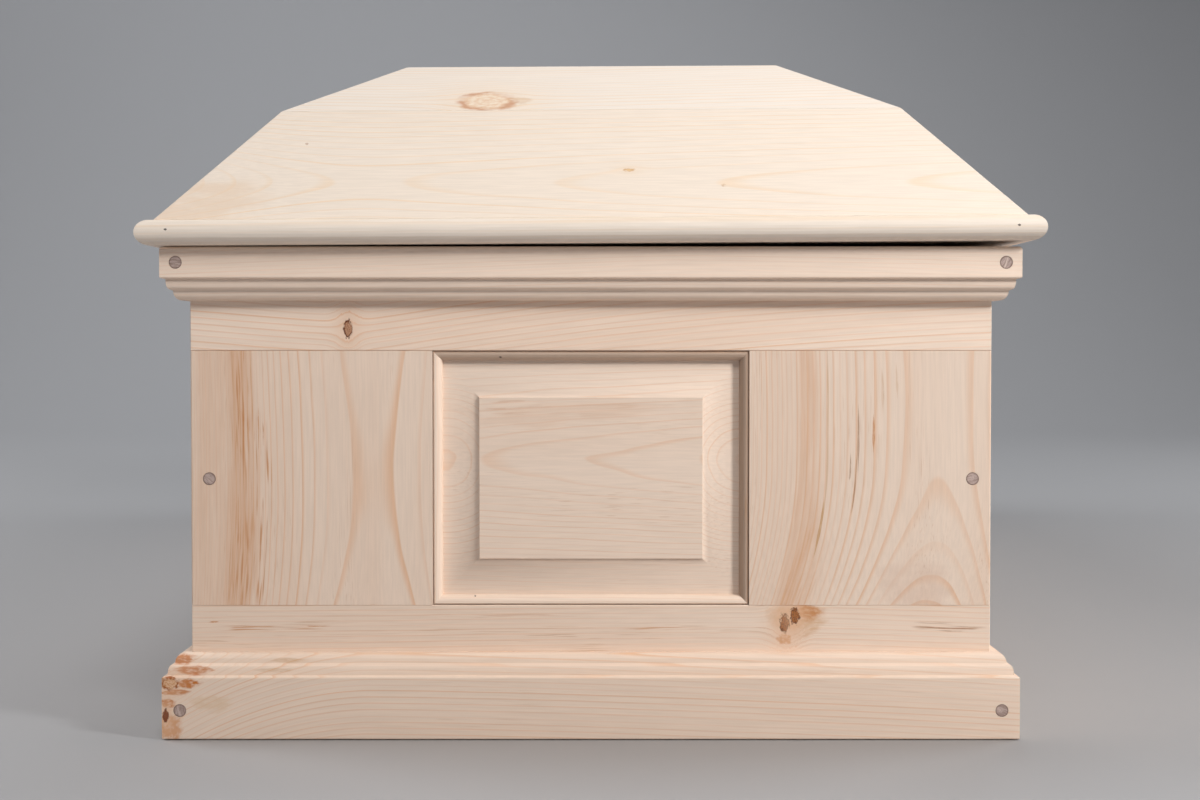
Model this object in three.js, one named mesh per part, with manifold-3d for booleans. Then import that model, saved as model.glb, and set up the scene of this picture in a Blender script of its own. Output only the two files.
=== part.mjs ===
// Pine coffin: a framed and panelled case on a base moulding, under a loose hipped lid.
// Millimetres, Z up. Origin on the ground under the middle of the case.
// X runs across the case, Y along it, and the front end faces -Y.
import * as THREE from "three";
import { mergeVertices } from "three/addons/utils/BufferGeometryUtils.js";
import Module from "manifold-3d";

const wasm = await Module();
wasm.setup();

// Case
const caseWidth = 609.6;
const caseLength = 2032;
const caseHeight = 371.9;
const wallThickness = 25.4;
const floorThickness = 19.05;

// Frames of the four walls
const topRailHeight = 78.4;
const bottomRailHeight = 99.4;
const stileFaceWidth = 184.15;
const lipThickness = 6.4;
const lipWidth = 8;

// Raised panels and the beads that hold them
const tongueThickness = 11;
const coveWidth = 28.5;
const coveDepth = 7;
const fieldStep = 0.9;
const beadWidth = 6.9;
const beadFilletWidth = 0.9;
const beadFilletDrop = 1.8;
const beadCrownDrop = 0.6;
const beadInnerDrop = 6.8;

// Cornice and base: flat face, then one moulded edge that both share
const mouldingThickness = 19.05;
const corniceFaceHeight = 23.8;
const baseFaceHeight = 47.3;
const firstLedgeWidth = 3.8;
const firstLedgeFall = 0.8;
const swellHeight = 7.2;
const swellLean = 2;
const secondLedgeWidth = 2.7;
const secondLedgeFall = 1.4;
const ovoloHeight = 7.1;
const mouldingLandWidth = 4.9;
const arrisRadius = 1;
const corniceTopRadius = 2.8;

// Lid
const lidOverhang = 34.8;
const lidBoardThickness = 19.05;
const lidEdgeWidth = 63.5;
const lidFootSetback = 12;
const lowerSlopeRun = 83.5;
const lowerSlopeRise = 90.1;
const upperSlopeRun = 90.6;
const upperSlopeRise = 46.6;
const lidCornerSpring = 4.1;

// Pegs, set in from the corner and up from the ground
const pegDiameter = 9.5;
const trimPegLength = 45;
const wallPegLength = 64;
const cornicePegInset = 12;
const cornicePegDrop = 12;
const wallPegInset = 14;
const wallPegHeight = 196;
const basePegInset = 13.5;
const basePegHeight = 22;

// Clearances
const glueLine = 0.1;
const frameJoint = 0.01;
const beadGap = 0.4;
const panelPlay = 0.5;
const floorPlay = 0.3;
const lidSeat = 0.3;
const pegPlay = 0.15;
const pegBoreExtra = 1;

// Fineness of round and sprung shapes
const pegSides = 24;
const arcSteps = 6;
const arrisSteps = 2;
const noseSteps = 14;
const springSteps = 8;
const swellSteps = 5;

const openingWidthOf = (frameWidth) => frameWidth - 2 * stileFaceWidth;
const openingHeight = caseHeight - topRailHeight - bottomRailHeight;
const openingMiddle = bottomRailHeight + openingHeight / 2;
const rabbetDepth = wallThickness - lipThickness;
const panelBack = rabbetDepth - glueLine;
const tongueFront = panelBack - tongueThickness;
const beadBack = tongueFront - glueLine;
const fieldThickness = tongueThickness + coveDepth + fieldStep;
const lidWidth = caseWidth + 2 * lidOverhang;
const lidLength = caseLength + 2 * lidOverhang;
const sideFrameLength = caseLength - 2 * (wallThickness + glueLine);

const pineColour = 0xdcc3b1;
const palePineColour = 0xead9c4;
const walnutColour = 0x94807a;

function pine(colour) {
  return new THREE.MeshStandardMaterial({ color: colour, roughness: 0.62, metalness: 0 });
}

function walnut() {
  return new THREE.MeshStandardMaterial({ color: walnutColour, roughness: 0.7, metalness: 0 });
}

// Solids and booleans

function solidOf(geometry) {
  const bare = geometry.clone();
  bare.deleteAttribute("normal");
  bare.deleteAttribute("uv");
  const merged = mergeVertices(bare, 1e-4);
  return new wasm.Manifold(
    new wasm.Mesh({
      numProp: 3,
      vertProperties: new Float32Array(merged.attributes.position.array),
      triVerts: new Uint32Array(merged.index.array),
    }),
  );
}

function geometryOf(solid) {
  const mesh = solid.getMesh();
  const indexed = new THREE.BufferGeometry();
  const positions = new Float32Array(mesh.numVert * 3);
  for (let i = 0; i < mesh.numVert; i++) {
    const start = i * mesh.numProp;
    positions.set(mesh.vertProperties.subarray(start, start + 3), i * 3);
  }
  indexed.setAttribute("position", new THREE.BufferAttribute(positions, 3));
  indexed.setIndex(new THREE.BufferAttribute(new Uint32Array(mesh.triVerts), 1));
  const faceted = indexed.toNonIndexed();
  faceted.computeVertexNormals();
  return faceted;
}

const common = (a, b) => geometryOf(solidOf(a).intersect(solidOf(b)));
const joined = (a, b) => geometryOf(solidOf(a).add(solidOf(b)));

// A box between two corners
function block(x0, x1, y0, y1, z0, z1) {
  return new THREE.BoxGeometry(x1 - x0, y1 - y0, z1 - z0).translate(
    (x0 + x1) / 2,
    (y0 + y1) / 2,
    (z0 + z1) / 2,
  );
}

// A flat outline extruded about its middle; across and up are the outline's own axes in space
function extruded(points, length, across, up, steps = 1) {
  const shape = new THREE.Shape(points.map(([a, b]) => new THREE.Vector2(a, b)));
  const along = new THREE.Vector3().crossVectors(across, up);
  const turn = new THREE.Matrix4().makeBasis(across, up, along);
  return new THREE.ExtrudeGeometry(shape, { depth: length, steps, bevelEnabled: false })
    .translate(0, 0, -length / 2)
    .applyMatrix4(turn);
}

// Points on an ellipse's arc, from one angle to another in quarter turns
function arc(centreA, centreB, radiusA, radiusB, from, to, steps = arcSteps) {
  const points = [];
  for (let i = 0; i <= steps; i++) {
    const angle = (Math.PI / 2) * (from + ((to - from) * i) / steps);
    points.push([centreA + radiusA * Math.cos(angle), centreB + radiusB * Math.sin(angle)]);
  }
  return points;
}

const round = (centreA, centreB, radius, from, to, steps) =>
  arc(centreA, centreB, radius, radius, from, to, steps);

const alongX = new THREE.Vector3(1, 0, 0);
const alongY = new THREE.Vector3(0, 1, 0);
const alongZ = new THREE.Vector3(0, 0, 1);
const outward = new THREE.Vector3(0, -1, 0);

// A bar along X whose outline is (distance in from its outer face, height), mitred at both ends.
// Its outer face is at y = 0 and its long edge is `length`.
function mitredBar(points, length, steps = 1) {
  const bar = extruded(points, length, alongY, alongZ, steps);
  const position = bar.attributes.position;
  for (let i = 0; i < position.count; i++) {
    const inset = position.getY(i) + glueLine / 2;
    position.setX(i, position.getX(i) * (1 - (2 * inset) / length));
  }
  bar.computeVertexNormals();
  return bar;
}

// The four sides of a rectangle, each turned a quarter further
const quarterTurns = [
  { side: "front", turn: 0 },
  { side: "right", turn: 1 },
  { side: "back", turn: 2 },
  { side: "left", turn: 3 },
];

// The group of one side of a rectangle, with the outer face of that side at its own y = 0
function sideGroup(turn, width, length) {
  const group = new THREE.Group();
  const reach = turn % 2 === 0 ? length / 2 : width / 2;
  group.rotation.z = (turn * Math.PI) / 2;
  group.position.set(0, -reach, 0).applyAxisAngle(alongZ, group.rotation.z);
  group.updateMatrixWorld(true);
  return group;
}

const barLengthOf = (turn, width, length) => (turn % 2 === 0 ? width : length);

// Pegs and the bores that they sit in

const pegPlaces = [];
const caseCorners = [
  { name: "front_left", x: -1, y: -1 },
  { name: "front_right", x: 1, y: -1 },
  { name: "back_left", x: -1, y: 1 },
  { name: "back_right", x: 1, y: 1 },
];
const pegLevels = [
  {
    name: "cornice_peg",
    proud: mouldingThickness,
    inset: cornicePegInset,
    height: caseHeight - cornicePegDrop,
    length: trimPegLength,
  },
  { name: "corner_peg", proud: 0, inset: wallPegInset, height: wallPegHeight, length: wallPegLength },
  {
    name: "base_peg",
    proud: mouldingThickness,
    inset: basePegInset,
    height: basePegHeight,
    length: trimPegLength,
  },
];
for (const corner of caseCorners) {
  for (const level of pegLevels) {
    pegPlaces.push({
      name: `${corner.name}_${level.name}`,
      x: corner.x * (caseWidth / 2 + level.proud - level.inset),
      y: corner.y * (caseLength / 2 + level.proud - level.length / 2),
      z: level.height,
      length: level.length,
    });
  }
}

const pegRound = (radius, length) => new THREE.CylinderGeometry(radius, radius, length, pegSides);

const pegBores = pegPlaces.map((place) => {
  const bore = pegRound(pegDiameter / 2 + pegPlay, place.length + 2 * pegBoreExtra);
  return bore.translate(place.x, place.y, place.z);
});

// The geometry with every peg bore cut from it; the group says where it stands in the case
function bored(geometry, group) {
  const toGroup = group.matrixWorld.clone().invert();
  let solid = solidOf(geometry);
  for (const bore of pegBores) {
    solid = solid.subtract(solidOf(bore.clone().applyMatrix4(toGroup)));
  }
  return geometryOf(solid);
}

function named(name, geometry, material) {
  const mesh = new THREE.Mesh(geometry, material);
  mesh.name = name;
  return mesh;
}

// Frame and panel

// The section through a raised panel: flat tongue, hollow cove, small step and flat field
function panelSection(size, openingSize) {
  const half = size / 2;
  const coveFoot = openingSize / 2 - beadWidth;
  const fieldEdge = coveFoot - coveWidth;
  const radius = (coveWidth ** 2 + coveDepth ** 2) / (2 * coveDepth);
  const rising = [];
  for (let i = 0; i <= arcSteps; i++) {
    const run = (coveWidth * i) / arcSteps;
    rising.push([coveFoot - run, tongueThickness + radius - Math.sqrt(radius ** 2 - run ** 2)]);
  }
  const right = [[half, 0], [half, tongueThickness], ...rising, [fieldEdge, fieldThickness]];
  const left = right.map(([a, b]) => [-a, b]).reverse();
  return [...right, ...left];
}

function raisedPanel(openingWidth) {
  const width = openingWidth - 2 * panelPlay;
  const height = openingHeight - 2 * panelPlay;
  const acrossWidth = extruded(panelSection(width, openingWidth), height, alongX, outward);
  const acrossHeight = extruded(panelSection(height, openingHeight), width, alongZ, outward);
  return common(acrossWidth, acrossHeight).translate(0, panelBack, openingMiddle);
}

// Four mitred strips glued into one ring: a section turned to four corners, which are then moved
// out to the rectangle's own corners. The section is (distance in from the outer edge, height).
function mitredRing(section, width, height) {
  const half = Math.min(width, height) / 2;
  const outline = [...section, section[0]].map(
    ([inset, rise]) => new THREE.Vector2((half - inset) * Math.SQRT2, rise),
  );
  const ring = new THREE.LatheGeometry(outline, 4, Math.PI / 4).rotateX(Math.PI / 2);
  const position = ring.attributes.position;
  for (let i = 0; i < position.count; i++) {
    position.setX(i, position.getX(i) + Math.sign(position.getX(i)) * (width / 2 - half));
    position.setY(i, position.getY(i) + Math.sign(position.getY(i)) * (height / 2 - half));
  }
  ring.computeVertexNormals();
  return ring;
}

function beadRing(openingWidth) {
  const crown = beadBack - beadCrownDrop;
  const shoulder = beadBack - beadInnerDrop;
  const section = [
    [0, 0],
    [0, beadBack - beadFilletDrop],
    [beadFilletWidth, beadBack - beadFilletDrop],
    ...arc(beadFilletWidth, shoulder, beadWidth - beadFilletWidth, crown - shoulder, 1, 0),
    [beadWidth, 0],
  ];
  const ring = mitredRing(section, openingWidth - 2 * beadGap, openingHeight - 2 * beadGap);
  return ring.rotateX(Math.PI / 2).translate(0, beadBack, openingMiddle);
}

// A rail is a full board with the lip that backs the panel left standing between the stiles
function rail(frameWidth, lowerEdge, upperEdge, lipSide) {
  const half = frameWidth / 2;
  const lipHalf = openingWidthOf(frameWidth) / 2 - lipWidth - glueLine;
  const board = block(-half, half, 0, wallThickness, lowerEdge, upperEdge);
  const lipEdge = lipSide > 0 ? upperEdge : lowerEdge;
  const lip = [lipEdge - lipSide, lipEdge + lipSide * lipWidth].sort((a, b) => a - b);
  return joined(board, block(-lipHalf, lipHalf, rabbetDepth, wallThickness, lip[0], lip[1]));
}

// A stile stands between the rails; side is -1 on the left and 1 on the right
function stile(frameWidth, side) {
  const outer = frameWidth / 2;
  const inner = openingWidthOf(frameWidth) / 2;
  const section = [
    [outer, 0],
    [outer, wallThickness],
    [inner - lipWidth, wallThickness],
    [inner - lipWidth, rabbetDepth],
    [inner, rabbetDepth],
    [inner, 0],
  ].map(([a, b]) => [side * a, -b]);
  const height = openingHeight - 2 * frameJoint;
  return extruded(section, height, alongX, outward).translate(0, 0, openingMiddle);
}

function framedWall(prefix, stileNames, frameWidth, turn) {
  const wall = sideGroup(turn, caseWidth, caseLength);
  const opening = openingWidthOf(frameWidth);
  const pieces = {
    bottom_rail: rail(frameWidth, 0, bottomRailHeight, 1),
    top_rail: rail(frameWidth, caseHeight - topRailHeight, caseHeight, -1),
    [stileNames[0]]: stile(frameWidth, -1),
    [stileNames[1]]: stile(frameWidth, 1),
  };
  for (const [piece, geometry] of Object.entries(pieces)) {
    wall.add(named(`${prefix}_${piece}`, bored(geometry, wall), pine(pineColour)));
  }
  wall.add(named(`${prefix}_panel`, raisedPanel(opening), pine(pineColour)));
  wall.add(named(`${prefix}_panel_bead`, beadRing(opening), pine(pineColour)));
  return wall;
}

function floorBoard() {
  const half = caseWidth / 2 - wallThickness - floorPlay;
  const reach = caseLength / 2 - wallThickness - floorPlay;
  return named(
    "floor_board",
    block(-half, half, -reach, reach, 0, floorThickness),
    pine(pineColour),
  );
}

// Cornice and base

// The moulded edge from the arris of the flat face to the wall: (distance in, distance away)
function mouldedEdge() {
  const ledge = firstLedgeWidth;
  const swellFoot = ledge + swellLean;
  const secondFall = firstLedgeFall + swellHeight;
  const ovoloStart = swellFoot + secondLedgeWidth;
  const ovoloFall = secondFall + secondLedgeFall;
  const ovoloWidth = mouldingThickness - mouldingLandWidth - ovoloStart;
  return [
    ...round(arrisRadius, -arrisRadius, arrisRadius, 2, 1, arrisSteps),
    [ledge, firstLedgeFall],
    ...arc(swellFoot, firstLedgeFall, swellLean, swellHeight, 2, 1, swellSteps).slice(1),
    [ovoloStart, ovoloFall],
    ...arc(ovoloStart + ovoloWidth, ovoloFall, ovoloWidth, ovoloHeight, 2, 1).slice(1),
    [mouldingThickness, ovoloFall + ovoloHeight],
  ];
}

function corniceSection() {
  const arris = caseHeight - corniceFaceHeight;
  return [
    [mouldingThickness, caseHeight],
    ...round(corniceTopRadius, caseHeight - corniceTopRadius, corniceTopRadius, 1, 2),
    ...mouldedEdge().map(([inset, fall]) => [inset, arris - fall]),
  ];
}

function baseSection() {
  return [
    [mouldingThickness, 0],
    ...round(arrisRadius, arrisRadius, arrisRadius, 3, 2, arrisSteps),
    ...mouldedEdge().map(([inset, fall]) => [inset, baseFaceHeight + fall]),
  ];
}

// A mitred frame of trim round the case, clear of the walls by a glue line
function trimFrame(prefix, section) {
  const trim = new THREE.Group();
  const proud = 2 * (mouldingThickness + glueLine);
  const width = caseWidth + proud;
  const length = caseLength + proud;
  for (const { side, turn } of quarterTurns) {
    const group = sideGroup(turn, width, length);
    const bar = mitredBar(section, barLengthOf(turn, width, length));
    group.add(named(`${side}_${prefix}`, bored(bar, group), pine(pineColour)));
    trim.add(group);
  }
  return trim;
}

// Lid

// How far the lid stands off its seat: it touches along two sides and springs at one front corner
function springAt(x, y) {
  const across = (x + lidWidth / 2) / lidWidth;
  const towardsFront = (lidLength / 2 - y) / lidLength;
  return lidCornerSpring * across * towardsFront;
}

function sprung(geometry, group) {
  const position = geometry.attributes.position;
  const point = new THREE.Vector3();
  for (let i = 0; i < position.count; i++) {
    point.fromBufferAttribute(position, i).applyMatrix4(group.matrixWorld);
    position.setZ(i, position.getZ(i) + springAt(point.x, point.y));
  }
  geometry.computeVertexNormals();
  return geometry;
}

const lidUnderside = caseHeight + lidSeat;
const lidEdgeTop = lidUnderside + lidBoardThickness;

function lidEdgeSection() {
  const nose = lidBoardThickness / 2;
  return [
    [lidEdgeWidth, lidUnderside],
    [lidEdgeWidth, lidEdgeTop],
    ...round(nose, lidUnderside + nose, nose, 1, 3, noseSteps),
  ];
}

// A sloping board between two arrises of the lid's outer face. Its upper end is mitred, and its
// lower end is cut level on the lid edge, or mitred against the board below where there is one.
function slopeSection(foot, run, rise, angleBelow, angleAbove) {
  const angle = Math.atan2(rise, run);
  const thickness = lidBoardThickness;
  const head = [foot[0] + run, foot[1] + rise];
  const along = [Math.cos(angle), Math.sin(angle)];
  const mitreTo = (other) => {
    const middle = (angle + other) / 2;
    const reach = thickness / Math.cos((angle - other) / 2);
    return [reach * Math.sin(middle), -reach * Math.cos(middle)];
  };
  const level = [thickness / Math.sin(angle), 0];
  const footMitre = angleBelow === null ? level : mitreTo(angleBelow);
  const headMitre = mitreTo(angleAbove);
  const shifted = (point, offset, direction) => [
    point[0] + offset[0] + (direction * glueLine * along[0]) / 2,
    point[1] + offset[1] + (direction * glueLine * along[1]) / 2,
  ];
  return [
    shifted(foot, [0, 0], 1),
    shifted(head, [0, 0], -1),
    shifted(head, headMitre, -1),
    shifted(foot, footMitre, 1),
  ];
}

const lowerAngle = Math.atan2(lowerSlopeRise, lowerSlopeRun);
const upperAngle = Math.atan2(upperSlopeRise, upperSlopeRun);
const lowerFoot = [lidFootSetback, lidEdgeTop + glueLine];
const upperFoot = [lowerFoot[0] + lowerSlopeRun, lowerFoot[1] + lowerSlopeRise];
const crownFoot = [upperFoot[0] + upperSlopeRun, upperFoot[1] + upperSlopeRise];

const lowerSlopeSection = () =>
  slopeSection(lowerFoot, lowerSlopeRun, lowerSlopeRise, null, upperAngle);
const upperSlopeSection = () =>
  slopeSection(upperFoot, upperSlopeRun, upperSlopeRise, lowerAngle, 0);

function lidTopBoard() {
  const inset = crownFoot[0] + glueLine;
  const width = lidWidth - 2 * inset;
  const length = lidLength - 2 * inset;
  const taper = lidBoardThickness * Math.tan(upperAngle / 2);
  const board = new THREE.BoxGeometry(width, length, lidBoardThickness, 4, springSteps, 1);
  const position = board.attributes.position;
  for (let i = 0; i < position.count; i++) {
    if (position.getZ(i) < 0) {
      position.setX(i, position.getX(i) * (1 - (2 * taper) / width));
      position.setY(i, position.getY(i) * (1 - (2 * taper) / length));
    }
  }
  return board.translate(0, 0, crownFoot[1] - lidBoardThickness / 2);
}

function hippedLid() {
  const lid = new THREE.Group();
  const courses = {
    lid_edge: lidEdgeSection(),
    lid_lower_slope: lowerSlopeSection(),
    lid_upper_slope: upperSlopeSection(),
  };
  for (const { side, turn } of quarterTurns) {
    const group = sideGroup(turn, lidWidth, lidLength);
    const length = barLengthOf(turn, lidWidth, lidLength);
    for (const [course, section] of Object.entries(courses)) {
      const bar = mitredBar(section, length, springSteps);
      group.add(named(`${side}_${course}`, sprung(bar, group), pine(palePineColour)));
    }
    lid.add(group);
  }
  lid.add(named("lid_top_board", sprung(lidTopBoard(), lid), pine(palePineColour)));
  return lid;
}

function pegs() {
  const set = new THREE.Group();
  for (const place of pegPlaces) {
    const peg = named(place.name, pegRound(pegDiameter / 2, place.length), walnut());
    peg.position.set(place.x, place.y, place.z);
    set.add(peg);
  }
  return set;
}

const coffin = new THREE.Group();
coffin.add(framedWall("front_end", ["left_stile", "right_stile"], caseWidth, 0));
coffin.add(framedWall("right_side", ["front_stile", "back_stile"], sideFrameLength, 1));
coffin.add(framedWall("back_end", ["right_stile", "left_stile"], caseWidth, 2));
coffin.add(framedWall("left_side", ["back_stile", "front_stile"], sideFrameLength, 3));
coffin.add(floorBoard());
coffin.add(trimFrame("cornice", corniceSection()));
coffin.add(trimFrame("base", baseSection()));
coffin.add(hippedLid());
coffin.add(pegs());

export default coffin;
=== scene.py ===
"""Looks of the pine coffin: sanded boards, beads and pegs, their grain, and the studio around them."""

import logging
import math
from dataclasses import dataclass, field
from enum import Enum
from random import Random
from typing import Callable, Optional

import bmesh
import bpy
from mathutils import Matrix, Vector


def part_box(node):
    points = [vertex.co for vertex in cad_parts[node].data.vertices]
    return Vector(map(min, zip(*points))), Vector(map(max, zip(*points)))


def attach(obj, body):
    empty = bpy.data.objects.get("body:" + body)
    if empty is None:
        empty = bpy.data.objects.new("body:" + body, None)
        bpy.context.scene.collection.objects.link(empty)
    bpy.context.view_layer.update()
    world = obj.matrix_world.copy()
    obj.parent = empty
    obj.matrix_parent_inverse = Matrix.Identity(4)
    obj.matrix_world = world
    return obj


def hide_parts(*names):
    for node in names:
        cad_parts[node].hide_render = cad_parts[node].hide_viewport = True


log = logging.getLogger("coffin")

MM = 0.001
TURN = 18 * MM
MITRE_GAP = 0.04 * MM
Point = tuple[float, float, float]
Colour = tuple[float, float, float]
Socket = bpy.types.NodeSocket

# The frame

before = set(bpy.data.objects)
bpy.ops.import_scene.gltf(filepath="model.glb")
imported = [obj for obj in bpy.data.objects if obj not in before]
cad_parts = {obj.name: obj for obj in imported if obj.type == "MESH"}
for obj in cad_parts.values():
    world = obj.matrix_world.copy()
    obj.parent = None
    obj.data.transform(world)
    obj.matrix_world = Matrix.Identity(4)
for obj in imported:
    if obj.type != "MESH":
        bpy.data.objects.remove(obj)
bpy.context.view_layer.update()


class Run(Enum):
    """The direction that a board's grain runs in."""

    ACROSS = "X"
    ALONG = "Y"
    UPRIGHT = "Z"

    @property
    def axis(self) -> Vector:
        """The unit vector of this direction."""
        return Vector([1.0 if name == self.value else 0.0 for name in "XYZ"])


@dataclass(frozen=True)
class Tone:
    """The colours of one wood in linear light; walnut's blush is the rim of a peg's end."""

    early: Colour
    late: Colour
    blush: Colour
    dash: Colour


PINE = Tone(
    early=(0.86, 0.690, 0.565),
    late=(0.79, 0.480, 0.300),
    blush=(0.80, 0.580, 0.440),
    dash=(0.50, 0.24, 0.09),
)
PALE_PINE = Tone(
    early=(0.86, 0.760, 0.670),
    late=(0.84, 0.600, 0.380),
    blush=(0.84, 0.700, 0.570),
    dash=(0.62, 0.38, 0.18),
)
WALNUT = Tone(
    early=(0.57, 0.435, 0.385),
    late=(0.35, 0.245, 0.21),
    blush=(0.16, 0.085, 0.065),
    dash=(0.17, 0.10, 0.08),
)
PALE_SPLIT = (0.72, 0.58, 0.50)


@dataclass(frozen=True)
class Knot:
    """A branch cut across by the board's face.

    centre is a point on the face; half_run and half_across are the knot's half sizes with and
    across the grain; bend says how far out the grain is pushed round it, in knot sizes.
    """

    centre: Point
    half_run: float
    half_across: float
    bend: float = 2.6
    heart: Colour = (0.42, 0.20, 0.09)
    ring: Colour = (0.60, 0.34, 0.16)
    rim: Colour = (0.10, 0.035, 0.015)
    rim_strength: float = 0.85
    halo: float = 0.3
    seed: float = 0.0
    ragged: float = 1.0


@dataclass(frozen=True)
class Mark:
    """A streak or stain, or the painted shade of a hole; one that follows the grain bends with the
    rings.
    """

    centre: Point
    size: Point
    colour: Colour
    strength: float = 0.5
    streaky: float = 0.7
    follow: bool = True
    seed: float = 0.0


@dataclass(frozen=True)
class Sawing:
    """How one board lay in its log, and what its face shows.

    The pith runs beneath the heart, a point on the face, at a depth that changes by dip and bow
    before and after it, and strays over the face by lean and sway. Rings are one ring wide
    there and crowd further out; start sets where they begin. Wander and ripple are how far they
    stray over a long and a short way. Latewood is the dark share of a ring, and light is how
    light the board is beside the others; on the top and right bead strips, a low light and a
    high tan paint their shade into the colour.
    """

    run: Run
    out: Point
    heart: Point
    depth: float = 60 * MM
    ring: float = 4.0 * MM
    crowd: float = 0.0
    start: float = 0.9
    dip: float = 0.0
    bow: tuple[float, float] = (0.0, 0.0)
    lean: tuple[float, float] = (0.0, 0.0)
    sway: tuple[float, float] = (0.0, 0.0)
    wander: float = 2.0 * MM
    ripple: float = 0.8 * MM
    uneven: float = 0.6
    contrast: float = 0.6
    latewood: float = 0.36
    light: float = 1.0
    tan: float = 0.0
    blush: float = 0.35
    dashes: float = 0.5
    seed: float = 0.0
    knots: tuple[Knot, ...] = ()
    marks: tuple[Mark, ...] = ()

    def axes(self) -> tuple[Vector, Vector, Vector]:
        """The directions along the grain, across the face and out of it."""
        out = Vector(self.out).normalized()
        along = (self.run.axis - out * self.run.axis.dot(out)).normalized()
        return along, out.cross(along), out

    def in_log(self, point: Point) -> tuple[float, float]:
        """A face point's place along the log and its signed distance from the pith."""
        along, across, out = self.axes()
        offset = Vector(point) - Vector(self.heart)
        x = offset.dot(along)
        side = 0 if x < 0 else 1
        away = math.hypot(x, TURN) - TURN
        drift = (self.lean[1] + self.lean[0]) / 2 * x + (self.lean[1] - self.lean[0]) / 2 * away
        y = offset.dot(across) - drift - self.sway[side] * x * x
        z = offset.dot(out) + self.depth + self.dip * x + self.bow[side] * x * x
        return x, math.copysign(math.hypot(y, z), y)


# Shader groups


class Wiring:
    """Adds nodes to one node tree and joins them up."""

    def __init__(self, tree: bpy.types.NodeTree) -> None:
        """Keeps the tree that the nodes go into."""
        self.tree = tree

    def add(self, kind: str, inputs: dict, **settings: object) -> bpy.types.Node:
        """Adds a node.

        Args:
            kind: the node's Blender type.
            inputs: socket name or number to a value or another node's socket.
            settings: the node's own properties.

        Returns:
            The node.
        """
        node = self.tree.nodes.new(kind)
        for name, value in settings.items():
            setattr(node, name, value)
        for key, value in inputs.items():
            if isinstance(value, Socket):
                self.tree.links.new(value, node.inputs[key])
            else:
                node.inputs[key].default_value = value
        return node

    def math(self, operation: str, a: object, b: object = 0.0, clamp: bool = False) -> Socket:
        """One sum on numbers."""
        node = self.add("ShaderNodeMath", {0: a, 1: b}, operation=operation, use_clamp=clamp)
        return node.outputs[0]

    def plus(self, a: object, b: object, clamp: bool = False) -> Socket:
        """Two numbers added."""
        return self.math("ADD", a, b, clamp)

    def minus(self, a: object, b: object) -> Socket:
        """One number less another."""
        return self.math("SUBTRACT", a, b)

    def times(self, a: object, b: object) -> Socket:
        """Two numbers multiplied."""
        return self.math("MULTIPLY", a, b)

    def vector(self, operation: str, a: object, b: object = (0.0, 0.0, 0.0)) -> Socket:
        """One sum on vectors."""
        return self.add("ShaderNodeVectorMath", {0: a, 1: b}, operation=operation).outputs[0]

    def length(self, a: object) -> Socket:
        """A vector's length."""
        return self.add("ShaderNodeVectorMath", {0: a}, operation="LENGTH").outputs["Value"]

    def scaled(self, a: object, factor: object) -> Socket:
        """A vector times a number."""
        node = self.add("ShaderNodeVectorMath", {0: a, "Scale": factor}, operation="SCALE")
        return node.outputs[0]

    def parts(self, vector: object) -> tuple[Socket, Socket, Socket]:
        """A vector's three numbers."""
        return tuple(self.add("ShaderNodeSeparateXYZ", {0: vector}).outputs)

    def blended(self, factor: object, a: object, b: object) -> Socket:
        """Two numbers mixed."""
        return self.add("ShaderNodeMix", {0: factor, 2: a, 3: b}, data_type="FLOAT").outputs[0]

    def chosen(self, after: Socket, pair: Socket) -> Socket:
        """A vector's first number before the heart, and its second after it."""
        first, second, _ = self.parts(pair)
        return self.blended(after, first, second)

    def group(self, tree: bpy.types.NodeTree, inputs: dict) -> bpy.types.Node:
        """Adds a shader group and sets or joins its inputs."""
        return self.add("ShaderNodeGroup", inputs, node_tree=tree)

    def ramp(
        self, value: object, low: float, high: float, out_low: object = 0.0, out_high: object = 1.0
    ) -> Socket:
        """A smooth step from out_low to out_high as value goes from low to high."""
        inputs = {0: value, 1: low, 2: high, 3: out_low, 4: out_high}
        return self.add("ShaderNodeMapRange", inputs, interpolation_type="SMOOTHSTEP").outputs[0]

    def noise(self, vector: object, stretch: Point, seed: object, detail: float = 2.0) -> Socket:
        """Noise from 0 to 1 with its own scale along each axis, in turns a metre."""
        shift = self.times(seed, 17.3)
        placed = self.vector("ADD", self.vector("MULTIPLY", vector, stretch), shift)
        inputs = {"Vector": placed, "Scale": 1.0, "Detail": detail, "Roughness": 0.55}
        return self.add("ShaderNodeTexNoise", inputs).outputs[0]

    def mixed(self, factor: object, a: object, b: object, blend: str = "MIX") -> Socket:
        """Two colours mixed."""
        node = self.add(
            "ShaderNodeMix",
            {0: factor, 6: opaque(a), 7: opaque(b)},
            data_type="RGBA",
            blend_type=blend,
            clamp_factor=True,
        )
        return node.outputs[2]


def opaque(colour: object) -> object:
    """A colour with its alpha, or the socket that it was."""
    return colour if isinstance(colour, Socket) else (*colour, 1.0)


def new_group(
    name: str, inputs: dict[str, str], outputs: dict[str, str]
) -> tuple[bpy.types.NodeTree, Wiring, bpy.types.Node, bpy.types.Node]:
    """Starts a shader node group.

    Args:
        name: the group's name.
        inputs: input name to FLOAT, VECTOR or COLOR.
        outputs: output name to the same.

    Returns:
        The group, its wiring, and its input and output nodes.
    """
    tree = bpy.data.node_groups.new(name, "ShaderNodeTree")
    kinds = {"FLOAT": "NodeSocketFloat", "VECTOR": "NodeSocketVector", "COLOR": "NodeSocketColor"}
    for in_out, sockets in (("INPUT", inputs), ("OUTPUT", outputs)):
        for socket, kind in sockets.items():
            tree.interface.new_socket(socket, in_out=in_out, socket_type=kinds[kind])
    return tree, Wiring(tree), tree.nodes.new("NodeGroupInput"), tree.nodes.new("NodeGroupOutput")


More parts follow.
